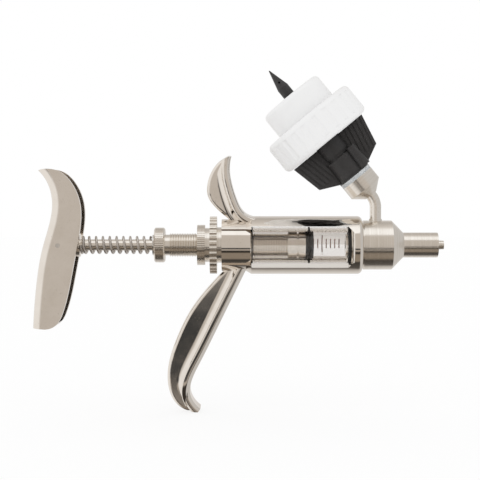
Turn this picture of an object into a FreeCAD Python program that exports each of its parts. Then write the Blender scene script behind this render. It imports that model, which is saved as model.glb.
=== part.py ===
import FreeCAD, Part
import math
import os
import re

import Sketcher

# An automatic syringe: a hand-squeezed dosing syringe that refills itself from a bottle on its side port.
# +X runs along the barrel towards the needle and +Z up towards the bottle.
# The origin is the centre of the lock collar's mouth. Stations along the barrel are counted backwards
# from it, and stations on the port are counted outwards along the leaning port axis.
# All sizes are in millimetres and degrees.

os.makedirs("parts", exist_ok=True)
doc = FreeCAD.newDocument("AutomaticSyringe")

SIZES = {
    # running and seated clearances
    "running_gap": 0.05,
    "seat_gap": 0.02,
    "valve_gap": 0.05,
    # lock collar and needle cone
    "collar_length": 15.8,
    "collar_radius": 5.75,
    "collar_bore_radius": 3.5,
    "collar_thread_depth": 0.5,
    "collar_thread_pitch": 2.5,
    "collar_thread_turns": 3,
    "cone_reach": 2.9,
    "cone_tip_radius": 2.0,
    "cone_taper": 0.03,
    "cone_free_length": 11.4,
    "cone_plug_depth": 2.7,
    "outlet_bore_radius": 0.9,
    # valve body
    "nose_length": 5.4,
    "body_length": 13.0,
    "body_radius": 11.3,
    "body_gap": 0.7,
    "spigot_length": 5.3,
    "spigot_radius": 10.6,
    "spigot_nose_length": 2.2,
    "spigot_nose_radius": 4.9,
    "passage_radius": 2.0,
    "chamber_length": 10.5,
    "inlet_from_nose": 7.3,
    # outlet valve
    "outlet_ball_radius": 2.6,
    "outlet_spring_radius": 1.6,
    "outlet_wire_radius": 0.22,
    "outlet_spring_turns": 3,
    # frame
    "frame_roll": 4.5,
    "front_ring_length": 4.9,
    "ring_radius": 13.3,
    "window_length": 45.9,
    "window_half_height": 9.5,
    "window_corner": 2.0,
    "window_edge_round": 1.2,
    "rear_ring_length": 13.6,
    "rear_ring_radius": 11.9,
    "ring_slope": 2.5,
    "sleeve_radius": 11.2,
    "sleeve_bore_radius": 6.6,
    "sleeve_chamfer": 0.5,
    "lip_half_height": 8.2,
    "ring_edge_round": 2.0,
    "hook_band_width": 11.0,
    "hook_band_depth": 3.8,
    "hook_web_width": 4.6,
    "hook_edge_round": 1.5,
    "web_edge_round": 1.5,
    # glass and gaskets
    "glass_bore_radius": 6.35,
    "glass_radius": 8.45,
    "front_gasket_length": 1.1,
    "front_gasket_bore": 5.0,
    "rear_gasket_length": 0.6,
    # barrel cap and lock nut
    "cap_spigot_length": 3.8,
    "cap_spigot_radius": 7.4,
    "cap_neck_length": 2.2,
    "cap_neck_radius": 8.2,
    "cap_rim_length": 3.2,
    "cap_rim_radius": 13.15,
    "cap_notch_radius": 1.1,
    "cap_notch_depth": 0.7,
    "cap_notches": 32,
    "cap_boss_length": 2.3,
    "cap_boss_radius": 7.85,
    "nut_length": 3.5,
    "nut_radius": 9.25,
    "nut_knurls": 60,
    "knurl_depth": 0.35,
    # dose screw
    "screw_radius": 5.35,
    "thread_depth": 0.5,
    "thread_pitch": 1.15,
    "screw_length": 56.6,
    "dose_setting": 14.9,
    "relief_length": 2.3,
    "relief_radius": 4.8,
    "knob_length": 4.9,
    "knob_radius": 8.0,
    "knob_knurls": 48,
    "knob_edge": 0.6,
    # rod, spring and piston
    "rod_radius": 2.6,
    "spring_washer_length": 0.8,
    "spring_washer_radius": 4.7,
    "spring_length": 33.4,
    "spring_mean_radius": 3.68,
    "spring_wire_radius": 0.52,
    "spring_turns": 10.5,
    "piston_length": 7.9,
    "piston_radius": 6.15,
    "piston_groove_from_rear": 4.0,
    "piston_groove_width": 0.8,
    "piston_groove_depth": 0.7,
    "head_length": 3.6,
    "head_radius": 6.25,
    "stud_radius": 1.4,
    "stud_length": 2.6,
    "ring_section_radius": 1.1,
    "ring_from_head_rear": 1.75,
    "ring_squeeze_gap": 0.02,
    # handle
    "handle_width": 17.0,
    "handle_wall": 2.5,
    "palm_round": 4.2,
    "boss_radius": 5.4,
    "boss_length": 14.0,
    "rod_seat_depth": 11.5,
    "pin_radius": 1.0,
    "pin_from_boss": 9.3,
    "pin_end_gap": 0.1,
    # inlet tube
    "tube_radius": 2.6,
    "tube_bore_radius": 1.6,
    "tube_foot_height": 7.0,
    "tube_root_radius": 2.95,
    "tube_root_height": 12.0,
    "bend_height": 20.5,
    "bend_radius": 8.4,
    # port cup and inlet valve
    "port_lean": 39.5,
    "port_reach": 15.25,
    "washer_thickness": 1.8,
    "cup_radius": 8.05,
    "cup_wall_length": 6.1,
    "cup_cone_length": 4.1,
    "cup_neck_radius": 3.1,
    "tube_seat_depth": 1.8,
    "inlet_chamber_radius": 3.4,
    "inlet_chamber_length": 5.8,
    "inlet_seat_thickness": 1.8,
    "inlet_seat_radius": 5.5,
    "inlet_hole_radius": 1.6,
    "inlet_ball_radius": 2.2,
    "inlet_spring_radius": 1.3,
    "inlet_wire_radius": 0.2,
    "inlet_spring_turns": 3,
    # spike adapter
    "hub_length": 10.8,
    "hub_radius": 7.5,
    "hub_foot_length": 0.7,
    "hub_neck_length": 1.8,
    "hub_neck_radius": 5.6,
    "upper_hub_length": 6.9,
    "upper_hub_radius": 6.4,
    "flange_length": 11.4,
    "flange_radius": 16.5,
    "flange_wall": 2.0,
    "spike_root_radius": 3.7,
    "spike_root_length": 4.1,
    "spike_radius": 2.785,
    "spike_length": 16.4,
    "spike_point_length": 9.9,
    "spike_tip_radius": 0.2,
    "spike_bore_radius": 1.0,
    "spike_bore_overrun": 3.4,
    "side_hole_radius": 0.5,
    "side_hole_from_shoulder": 2.7,
    "wing_shoulder": 4.8,
    "wing_shoulder_half_width": 16.8,
    "wing_top": 19.5,
    "wing_top_half_width": 20.0,
    "wing_foot": 0.3,
    "wing_thickness": 1.7,
    "rib_thickness": 2.7,
    "rib_pitch": 2.25,
    "rib_gap": 0.8,
    "ribs_per_wing": 5,
    "vent_radius": 2.7,
    "vent_top_radius": 2.1,
    "vent_height": 11.7,
    "vent_bore_radius": 1.2,
    "vent_bore_depth": 6.0,
    "vent_offset": 8.6,
    "vent_plug_length": 3.5,
    # bottle collar
    "bottle_collar_gap": 0.3,
    "large_ring_length": 15.1,
    "large_ring_radius": 23.1,
    "large_ring_edge": 2.4,
    "large_socket_radius": 16.8,
    "collar_web": 3.0,
    "small_ring_length": 12.0,
    "small_ring_radius": 15.55,
    "small_ring_edge": 2.2,
    "small_socket_radius": 10.3,
    "flutes": 24,
    "flute_radius": 4.0,
    "flute_depth": 0.35,
}

sizes = doc.addObject("Spreadsheet::Sheet", "Sizes")
for line, (alias, number) in enumerate(SIZES.items(), start=1):
    sizes.set(f"A{line}", alias)
    sizes.set(f"B{line}", str(number))
    sizes.setAlias(f"B{line}", alias)
doc.recompute()

# stations along the barrel, counted backwards from the collar's mouth
nose_rear = "(collar_length + nose_length)"
body_rear = f"({nose_rear} + body_length)"
ring_front = f"({body_rear} + body_gap)"
window_front = f"({ring_front} + front_ring_length)"
window_rear = f"({window_front} + window_length)"
ring_rear = f"({window_rear} + rear_ring_length)"
spigot_rear = f"({ring_front} + spigot_length)"
spigot_nose_rear = f"({spigot_rear} + spigot_nose_length)"
outlet_seat = "(collar_length + chamber_length)"
inlet_back = f"({nose_rear} + inlet_from_nose)"
glass_front = f"({spigot_rear} + front_gasket_length)"
cap_front = f"({ring_rear} - cap_spigot_length)"
glass_rear = f"({window_rear} - rear_gasket_length)"
cap_neck_rear = f"({ring_rear} + cap_neck_length)"
cap_rim_rear = f"({cap_neck_rear} + cap_rim_length)"
cap_rear = f"({cap_rim_rear} + cap_boss_length)"
nut_rear = f"({cap_rear} + nut_length)"
knob_front = f"({nut_rear} + dose_setting)"
knob_rear = f"({knob_front} + knob_length)"
screw_front = f"({knob_front} - screw_length)"
relief_front = f"({knob_front} - relief_length)"
spring_front = f"({knob_rear} + spring_washer_length)"
handle_front = f"({spring_front} + spring_length)"
piston_rear = screw_front
piston_front = f"({piston_rear} - piston_length)"
head_front = f"({piston_front} - head_length)"
rod_rear = f"({handle_front} + rod_seat_depth)"
pin_back = f"({handle_front} + pin_from_boss)"

# stations on the port axis, counted outwards from the top of the washer
cup_rim = "(-washer_thickness)"
cup_shoulder = f"({cup_rim} - cup_wall_length)"
cup_foot = f"({cup_shoulder} - cup_cone_length)"
tube_end = f"({cup_foot} + tube_seat_depth)"
inlet_seat_face = f"({cup_rim} - inlet_seat_thickness)"
inlet_chamber_floor = f"({inlet_seat_face} - inlet_chamber_length)"
neck_top = "(hub_length + hub_neck_length)"
upper_hub_top = f"({neck_top} + upper_hub_length)"
collar_foot = f"({upper_hub_top} + bottle_collar_gap)"
flange_foot = f"({collar_foot} + bottle_collar_gap)"
flange_top = f"({flange_foot} + flange_length)"
web_foot = f"({flange_top} + bottle_collar_gap)"
web_top = f"({web_foot} + collar_web)"
large_ring_top = f"({collar_foot} + large_ring_length)"
collar_top = f"({large_ring_top} + small_ring_length)"
spike_root_top = f"({flange_top} + spike_root_length)"
spike_shoulder = f"({spike_root_top} + spike_length)"
spike_tip = f"({spike_shoulder} + spike_point_length)"
port_back = f"({inlet_back} + port_reach * sin(port_lean * 1 deg))"
port_height = "(bend_height + port_reach * cos(port_lean * 1 deg))"

# balls rest on the edge of their seat's hole
outlet_ball_back = (
    f"({outlet_seat} - sqrt(outlet_ball_radius ^ 2 - passage_radius ^ 2) - valve_gap)"
)
inlet_ball_station = (
    f"({inlet_seat_face} - sqrt(inlet_ball_radius ^ 2 - inlet_hole_radius ^ 2) - valve_gap)"
)


def bound(expression):
    """Put the sheet's name in front of every size in an expression."""
    return re.sub(r"[a-z]+(?:_[a-z]+)+|flutes", lambda word: "Sizes." + word.group(), expression)


def size(expression):
    """The value in millimetres of an expression of sizes."""
    return float(sizes.evalExpression(expression))


def new_body(label):
    return doc.addObject("PartDesign::Body", label)


def origin_item(body, role):
    return next(item for item in body.Origin.OriginFeatures if item.Role == role)


def new_sketch(body, plane, offset="0 * seat_gap"):
    """A sketch on one of the body's origin planes, moved along the plane's normal."""
    sketch = body.newObject("Sketcher::SketchObject", body.Label + "_sketch")
    sketch.AttachmentSupport = (origin_item(body, plane), [""])
    sketch.MapMode = "FlatFace"
    sketch.setExpression("AttachmentOffset.Base.z", bound(offset))
    return sketch


def pin_point(sketch, element, end, across, up):
    """Hold one end of a sketch element at two expressions of sizes."""
    for kind, expression in (("DistanceX", across), ("DistanceY", up)):
        index = sketch.addConstraint(
            Sketcher.Constraint(kind, -1, 1, element, end, size(expression))
        )
        sketch.setExpression(f"Constraints[{index}]", bound(expression))


def draw_outline(sketch, corners):
    """A closed outline of straight lines, each corner held by its own expressions."""
    points = [FreeCAD.Vector(size(across), size(up), 0) for across, up in corners]
    first = sketch.GeometryCount
    count = len(points)
    for i in range(count):
        sketch.addGeometry(Part.LineSegment(points[i], points[(i + 1) % count]), False)
    for i in range(count):
        sketch.addConstraint(
            Sketcher.Constraint("Coincident", first + i, 2, first + (i + 1) % count, 1)
        )
        pin_point(sketch, first + i, 1, *corners[i])


def draw_circle(sketch, across, up, radius):
    circle = Part.Circle(
        FreeCAD.Vector(size(across), size(up), 0), FreeCAD.Vector(0, 0, 1), size(radius)
    )
    element = sketch.addGeometry(circle, False)
    pin_point(sketch, element, 3, across, up)
    index = sketch.addConstraint(Sketcher.Constraint("Radius", element, size(radius)))
    sketch.setExpression(f"Constraints[{index}]", bound(radius))


def spline_through(points):
    curve = Part.BSplineCurve()
    curve.interpolate([FreeCAD.Vector(across, up, 0) for across, up in points])
    return curve


def draw_loop(sketch, curves):
    """A closed loop of splines and lines, each starting where the last one ends."""
    first = sketch.GeometryCount
    for curve in curves:
        sketch.addGeometry(curve, False)
    for i in range(len(curves)):
        following = first + (i + 1) % len(curves)
        sketch.addConstraint(Sketcher.Constraint("Coincident", first + i, 2, following, 1))


def line_between(start, end):
    return Part.LineSegment(FreeCAD.Vector(*start, 0), FreeCAD.Vector(*end, 0))


def revolve(body, sketch, cut=False):
    kind = "PartDesign::Groove" if cut else "PartDesign::Revolution"
    feature = body.newObject(kind, body.Label + "_turn")
    feature.Profile = sketch
    feature.ReferenceAxis = (sketch, ["H_Axis"])
    feature.Angle = 360
    return feature


def backward(profile):
    """Stations counted backwards along the barrel, as X."""
    return [(f"-{back}", radius) for back, radius in profile]


def turned(label, profile):
    """A body turned about its own X axis from a closed profile of (station, radius)."""
    body = new_body(label)
    sketch = new_sketch(body, "XZ_Plane")
    draw_outline(sketch, profile)
    revolve(body, sketch)
    return body


def turned_groove(body, profile):
    sketch = new_sketch(body, "XZ_Plane")
    draw_outline(sketch, profile)
    return revolve(body, sketch, cut=True)


def tube_profile(start, end, inner, outer):
    return [(start, inner), (start, outer), (end, outer), (end, inner)]


def extrude(body, sketch, length, kind="Pad", both_ways=False, reverse=False):
    feature = body.newObject("PartDesign::" + kind, f"{body.Label}_{kind.lower()}")
    feature.Profile = sketch
    feature.setExpression("Length", bound(length))
    if both_ways:
        feature.SideType = "Symmetric"
    feature.Reversed = reverse
    return feature


def repeat_round(body, feature, count, axis="X_Axis"):
    """Copies of a feature all the way round the body's own axis."""
    pattern = body.newObject("PartDesign::PolarPattern", body.Label + "_round")
    pattern.Originals = [feature]
    pattern.Axis = (origin_item(body, axis), [""])
    pattern.Angle = 360
    pattern.setExpression("Occurrences", bound(count))
    body.Tip = pattern
    return pattern


def repeat_along(body, feature, pitch, count):
    """Copies of a feature at one pitch along the body's own X axis."""
    pattern = body.newObject("PartDesign::LinearPattern", body.Label + "_along")
    pattern.Originals = [feature]
    pattern.Direction = (origin_item(body, "X_Axis"), [""])
    pattern.setExpression("Length", bound(f"{pitch} * ({count} - 1)"))
    pattern.setExpression("Occurrences", bound(count))
    body.Tip = pattern
    return pattern


def circle_edges(body, stations):
    """Names of the body's full circular edges at given (along, radius) places."""
    found = []
    for number, edge in enumerate(body.Shape.Edges, start=1):
        if not isinstance(edge.Curve, Part.Circle):
            continue
        for along, radius in stations:
            at_station = abs(edge.Curve.Center.x - size(along)) < 0.001
            if at_station and abs(edge.Curve.Radius - size(radius)) < 0.001:
                found.append(f"Edge{number}")
    return found


def round_edges(body, names, radius, kind="Fillet"):
    tip = body.Tip
    feature = body.newObject("PartDesign::" + kind, f"{body.Label}_{kind.lower()}")
    feature.Base = (tip, names)
    feature.setExpression("Radius" if kind == "Fillet" else "Size", bound(radius))
    return feature


def stand_on_port(body):
    """Turn a body's own X axis onto the leaning port axis, with station 0 on the washer's top."""
    body.Placement = FreeCAD.Placement(
        FreeCAD.Vector(), FreeCAD.Rotation(FreeCAD.Vector(0, -1, 0), 90)
    )
    body.setExpression("Placement.Base.x", bound(f"-{port_back}"))
    body.setExpression("Placement.Base.z", bound(port_height))
    body.setExpression("Placement.Rotation.Angle", bound("(90 + port_lean) * 1 deg"))


def coil(label, start, length, mean_radius, wire_radius, turns):
    """A spring of round wire about X: a circle swept along a helix."""
    helix = doc.addObject("Part::Helix", label + "_line")
    helix.setExpression("Pitch", bound(f"({length} - 2 * {wire_radius}) / {turns}"))
    helix.setExpression("Height", bound(f"{length} - 2 * {wire_radius}"))
    helix.setExpression("Radius", bound(mean_radius))
    wire = doc.addObject("Part::Circle", label + "_wire")
    wire.setExpression("Radius", bound(wire_radius))
    wire.Placement = FreeCAD.Placement(
        FreeCAD.Vector(), FreeCAD.Rotation(FreeCAD.Vector(1, 0, 0), 90)
    )
    wire.setExpression("Placement.Base.x", bound(mean_radius))
    sweep = doc.addObject("Part::Sweep", label)
    sweep.Sections = [wire]
    sweep.Spine = helix
    sweep.Solid = True
    sweep.Frenet = True
    sweep.Placement = FreeCAD.Placement(
        FreeCAD.Vector(), FreeCAD.Rotation(FreeCAD.Vector(0, 1, 0), 90)
    )
    sweep.setExpression("Placement.Base.x", bound(f"{start} + {wire_radius}"))
    return sweep


# lock collar, needle cone and valve body

def make_luer_lock_collar():
    body = turned(
        "luer_lock_collar",
        backward(tube_profile("collar_length", "(0 * collar_length)", "collar_bore_radius", "collar_radius")),
    )
    thread_root = "(collar_bore_radius + collar_thread_depth)"
    turn_back = "(collar_thread_pitch * collar_thread_turns)"
    groove = turned_groove(
        body,
        [
            (f"-{turn_back}", "collar_bore_radius - seat_gap"),
            (f"-{turn_back} + collar_thread_depth", thread_root),
            (f"-{turn_back} + 2 * collar_thread_depth", thread_root),
            (f"-{turn_back} + 3 * collar_thread_depth", "collar_bore_radius - seat_gap"),
        ],
    )
    repeat_along(body, groove, "collar_thread_pitch", "collar_thread_turns")
    return body


def make_needle_cone():
    plug_rear = "(collar_length + cone_plug_depth)"
    plug_front = "(cone_free_length - cone_reach)"
    plug_radius = "(collar_bore_radius - seat_gap)"
    base_radius = "(cone_tip_radius + cone_taper * cone_free_length)"
    return turned(
        "needle_cone",
        backward(
            [
                (plug_rear, "outlet_bore_radius"),
                (plug_rear, plug_radius),
                (plug_front, plug_radius),
                (plug_front, base_radius),
                ("(-cone_reach)", "cone_tip_radius"),
                ("(-cone_reach)", "outlet_bore_radius"),
            ]
        ),
    )


def make_valve_body():
    body = turned(
        "valve_body",
        backward(
            [
                ("collar_length", "collar_bore_radius"),
                ("collar_length", "collar_radius"),
                (nose_rear, "body_radius"),
                (body_rear, "body_radius"),
                (body_rear, "spigot_radius"),
                (spigot_rear, "spigot_radius"),
                (spigot_rear, "spigot_nose_radius"),
                (spigot_nose_rear, "spigot_nose_radius"),
                (spigot_nose_rear, "passage_radius"),
                (outlet_seat, "passage_radius"),
                (outlet_seat, "collar_bore_radius"),
            ]
        ),
    )
    inlet_hole = new_sketch(body, "XY_Plane")
    draw_circle(inlet_hole, f"-{inlet_back}", "0 * seat_gap", "tube_bore_radius")
    extrude(body, inlet_hole, "tube_foot_height + seat_gap", "Pocket", reverse=True)
    tube_seat = new_sketch(body, "XY_Plane", "tube_foot_height")
    draw_circle(tube_seat, f"-{inlet_back}", "0 * seat_gap", "tube_root_radius + seat_gap")
    extrude(body, tube_seat, "body_radius", "Pocket", reverse=True)
    return body


def make_outlet_valve():
    ball = doc.addObject("Part::Sphere", "outlet_ball")
    ball.setExpression("Radius", bound("outlet_ball_radius"))
    ball.setExpression("Placement.Base.x", bound(f"-{outlet_ball_back}"))
    rest_back = (
        f"({outlet_ball_back} - sqrt(outlet_ball_radius ^ 2 - outlet_spring_radius ^ 2) - valve_gap)"
    )
    plug_rear = "(collar_length + cone_plug_depth)"
    coil(
        "outlet_spring",
        f"-{rest_back}",
        f"({rest_back} - {plug_rear})",
        "outlet_spring_radius",
        "outlet_wire_radius",
        "outlet_spring_turns",
    )


# frame with its finger hooks, glass, gaskets

# each hook's outlines, as (back from the windows' rear end, out from the rear ring's surface)
UPPER_HOOK_FRONT = [
    (-4.2, -0.5), (-1.0, 1.1), (1.6, 2.1), (3.8, 3.9), (6.5, 8.8), (8.5, 14.8), (9.8, 21.5), (9.1, 28.9),
]
UPPER_HOOK_REAR = [
    (10.5, 29.0), (14.1, 27.0), (17.4, 23.3), (20.1, 16.5), (20.0, 10.8), (17.4, 6.5), (8.0, -1.8),
]
LOWER_HOOK_FRONT = [
    (2.0, -1.8), (6.8, 8.0), (16.1, 27.1), (23.5, 42.0), (27.7, 51.3), (28.3, 57.0), (26.3, 61.5),
    (23.6, 64.2),
]
LOWER_HOOK_REAR = [
    (24.8, 65.6), (30.8, 65.4), (35.8, 61.3), (38.6, 54.0), (38.5, 44.3), (34.8, 32.0), (27.7, 17.8),
    (19.0, 6.6), (11.0, -1.8),
]


def hook_points(points, side):
    """Outline points in the frame's own XZ plane; side is 1 above the barrel and -1 below."""
    rear_end = size(window_rear)
    surface = size("rear_ring_radius")
    return [(-rear_end - back, side * (surface + out)) for back, out in points]


def beside(curve, points, distance):
    """The same points, moved sideways off the curve that runs through them."""
    moved = []
    for across, up in points:
        point = FreeCAD.Vector(across, up, 0)
        along = curve.tangent(curve.parameter(point))[0]
        moved.append((across + along.y * distance, up - along.x * distance))
    return moved


def long_edges(body, half_width, points):
    """Names of the edges that run through points of an outline, on both sides of the middle plane."""
    found = []
    for number, edge in enumerate(body.Shape.Edges, start=1):
        if any(abs(abs(vertex.Point.y) - half_width) > 0.001 for vertex in edge.Vertexes):
            continue
        side = math.copysign(half_width, edge.Vertexes[0].Point.y)
        places = [Part.Vertex(FreeCAD.Vector(across, side, up)) for across, up in points]
        if all(edge.distToShape(place)[0] < 0.01 for place in places):
            found.append(f"Edge{number}")
    return found


def add_hook(body, front_points, rear_points, side):
    """One T-shaped hook: a thin web over the whole outline and a wide band along its front, both rounded."""
    front = hook_points(front_points, side)
    rear = hook_points(rear_points, side)
    front_curve = spline_through(front)
    inner = beside(front_curve, front, -side * size("hook_band_depth"))
    band = new_sketch(body, "XZ_Plane")
    draw_loop(
        band,
        [
            spline_through(front),
            line_between(front[-1], inner[-1]),
            spline_through(inner[::-1]),
            line_between(inner[0], front[0]),
        ],
    )
    extrude(body, band, "hook_band_width", both_ways=True)
    doc.recompute()
    half_band = size("hook_band_width / 2")
    edges = long_edges(body, half_band, front[3:5]) + long_edges(body, half_band, inner[3:5])
    round_edges(body, edges, "hook_edge_round")
    web = new_sketch(body, "XZ_Plane")
    draw_loop(
        web,
        [
            front_curve,
            line_between(front[-1], rear[0]),
            spline_through(rear),
            line_between(rear[-1], front[0]),
        ],
    )
    extrude(body, web, "hook_web_width", both_ways=True)
    doc.recompute()
    half_web = size("hook_web_width / 2")
    round_edges(body, long_edges(body, half_web, rear[2:4]), "web_edge_round")
    beyond = rear[0][1] + side * size("hook_band_depth")
    corners = [front[-1], rear[0], rear[1], (rear[1][0], beyond), (front[-1][0], beyond)]
    tip_trim = new_sketch(body, "XZ_Plane")
    draw_loop(tip_trim, [line_between(corners[i - 1], corners[i]) for i in range(len(corners))])
    extrude(body, tip_trim, "2 * hook_band_width", "Pocket", both_ways=True)


def make_frame():
    body = new_body("frame")
    body.AllowCompound = True
    add_hook(body, UPPER_HOOK_FRONT, UPPER_HOOK_REAR, 1)
    add_hook(body, LOWER_HOOK_FRONT, LOWER_HOOK_REAR, -1)
    bars = new_sketch(body, "XZ_Plane")
    draw_outline(
        bars,
        backward(
            [
                (ring_front, "(0 * ring_radius)"),
                (ring_front, "ring_radius"),
                (window_rear, "ring_radius"),
                (f"({window_rear} + ring_slope)", "rear_ring_radius"),
                (ring_rear, "rear_ring_radius"),
                (ring_rear, "(0 * ring_radius)"),
            ]
        ),
    )
    revolve(body, bars)
    doc.recompute()
    front_edge = circle_edges(body, [(f"-{ring_front}", "ring_radius")])
    round_edges(body, front_edge, "ring_edge_round")
    window = new_sketch(body, "XZ_Plane")
    draw_outline(
        window,
        [
            (f"-{window_rear}", "-window_half_height"),
            (f"-{window_front} - window_corner", "-window_half_height"),
            (f"-{window_front}", "-window_half_height + window_corner"),
            (f"-{window_front}", "window_half_height - window_corner"),
            (f"-{window_front} - window_corner", "window_half_height"),
            (f"-{window_rear}", "window_half_height"),
        ],
    )
    extrude(body, window, "4 * ring_radius", "Pocket", both_ways=True)
    doc.recompute()
    window_edge = circle_edges(body, [(f"-{window_front}", "ring_radius")])
    round_edges(body, window_edge, "window_edge_round")
    behind = f"-{ring_rear} - body_gap"
    between_lips = new_sketch(body, "XZ_Plane")
    draw_outline(
        between_lips,
        [
            (f"-{window_rear}", "-lip_half_height"),
            (f"-{window_rear}", "lip_half_height"),
            (behind, "lip_half_height"),
            (behind, "-lip_half_height"),
        ],
    )
    extrude(body, between_lips, "4 * ring_radius", "Pocket", both_ways=True)
    sleeve = new_sketch(body, "XZ_Plane")
    draw_outline(
        sleeve,
        backward(
            [
                (window_rear, "sleeve_bore_radius"),
                (window_rear, "sleeve_radius - sleeve_chamfer"),
                (f"({window_rear} + sleeve_chamfer)", "sleeve_radius"),
                (ring_rear, "sleeve_radius"),
                (ring_rear, "sleeve_bore_radius"),
            ]
        ),
    )
    revolve(body, sleeve)
    bore_counter = "(spigot_radius + seat_gap)"
    glass_counter = "(glass_radius + seat_gap)"
    cap_counter = "(cap_spigot_radius + seat_gap)"
    turned_groove(
        body,
        backward(
            [
                (f"({ring_front} - body_gap)", "(0 * ring_radius)"),
                (f"({ring_front} - body_gap)", bore_counter),
                (f"({spigot_rear} + seat_gap)", bore_counter),
                (f"({spigot_rear} + seat_gap)", glass_counter),
                (window_rear, glass_counter),
                (window_rear, "sleeve_bore_radius"),
                (f"({cap_front} - seat_gap)", "sleeve_bore_radius"),
                (f"({cap_front} - seat_gap)", cap_counter),
                (f"({ring_rear} + body_gap)", cap_counter),
                (f"({ring_rear} + body_gap)", "(0 * ring_radius)"),
            ]
        ),
    )
    body.Placement = FreeCAD.Placement(
        FreeCAD.Vector(), FreeCAD.Rotation(FreeCAD.Vector(1, 0, 0), 1)
    )
    body.setExpression("Placement.Rotation.Angle", bound("frame_roll * 1 deg"))
    return body


def make_glass_barrel():
    return turned(
        "glass_barrel",
        backward(tube_profile(glass_front, glass_rear, "glass_bore_radius", "glass_radius")),
    )


def make_gaskets():
    turned(
        "front_gasket",
        backward(tube_profile(spigot_rear, glass_front, "front_gasket_bore", "glass_radius")),
    )
    turned(
        "rear_gasket",
        backward(tube_profile(glass_rear, window_rear, "sleeve_bore_radius", "glass_radius")),
    )


# barrel cap, lock nut and dose screw

def make_barrel_cap():
    bore = "(screw_radius + running_gap)"
    body = turned(
        "barrel_cap",
        backward(
            [
                (cap_front, bore),
                (cap_front, "cap_spigot_radius"),
                (ring_rear, "cap_spigot_radius"),
                (ring_rear, "cap_neck_radius"),
                (cap_neck_rear, "cap_neck_radius"),
                (cap_neck_rear, "cap_rim_radius"),
                (cap_rim_rear, "cap_rim_radius"),
                (cap_rim_rear, "cap_boss_radius"),
                (cap_rear, "cap_boss_radius"),
                (cap_rear, bore),
            ]
        ),
    )
    notch = new_sketch(body, "YZ_Plane", f"-{cap_rim_rear}")
    notch_centre = "cap_rim_radius + cap_notch_radius - cap_notch_depth"
    draw_circle(notch, "0 * seat_gap", notch_centre, "cap_notch_radius")
    cut = extrude(body, notch, "cap_rim_length", "Pocket", reverse=True)
    repeat_round(body, cut, "cap_notches")
    return body


def knurl(body, back, length, radius, count):
    """Straight knurling: V grooves cut along a turned rim, round and round."""
    sketch = new_sketch(body, "YZ_Plane", f"-{back}")
    half = f"({radius} * tan(70 deg / {count}))"
    root = f"({radius} - knurl_depth)"
    draw_outline(
        sketch,
        [
            ("0 * seat_gap", root),
            (half, f"({radius} + knurl_depth)"),
            (f"-{half}", f"({radius} + knurl_depth)"),
        ],
    )
    cut = extrude(body, sketch, length, "Pocket", reverse=True)
    repeat_round(body, cut, count)


def make_lock_nut():
    body = turned(
        "lock_nut",
        backward(tube_profile(cap_rear, nut_rear, "(screw_radius + running_gap)", "nut_radius")),
    )
    knurl(body, nut_rear, "nut_length", "nut_radius", "nut_knurls")
    return body


def make_dose_screw():
    bore = "(rod_radius + running_gap)"
    body = turned(
        "dose_screw",
        backward(
            [
                (screw_front, bore),
                (screw_front, "screw_radius"),
                (relief_front, "screw_radius"),
                (relief_front, "relief_radius"),
                (knob_front, "relief_radius"),
                (knob_front, "knob_radius - knob_edge"),
                (f"({knob_front} + knob_edge)", "knob_radius"),
                (f"({knob_rear} - knob_edge)", "knob_radius"),
                (knob_rear, "knob_radius - knob_edge"),
                (knob_rear, bore),
            ]
        ),
    )
    thread_count = "floor((screw_length - relief_length) / thread_pitch)"
    first_turn = f"-{relief_front}"
    outside = "(screw_radius + seat_gap)"
    groove = turned_groove(
        body,
        [
            (f"{first_turn} + thread_pitch * 0.1", outside),
            (f"{first_turn} + thread_pitch * 0.5", "screw_radius - thread_depth"),
            (f"{first_turn} + thread_pitch * 0.9", outside),
        ],
    )
    repeat_along(body, groove, "thread_pitch", thread_count)
    knurl(body, knob_rear, "knob_length", "knob_radius", "knob_knurls")
    return body


# plunger: rod, piston and return spring

def make_return_spring():
    turned(
        "spring_seat",
        backward(
            tube_profile(knob_rear, spring_front, "(rod_radius + 2 * running_gap)", "spring_washer_radius")
        ),
    )
    coil(
        "return_spring",
        f"-{handle_front}",
        "spring_length",
        "spring_mean_radius",
        "spring_wire_radius",
        "spring_turns",
    )


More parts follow.
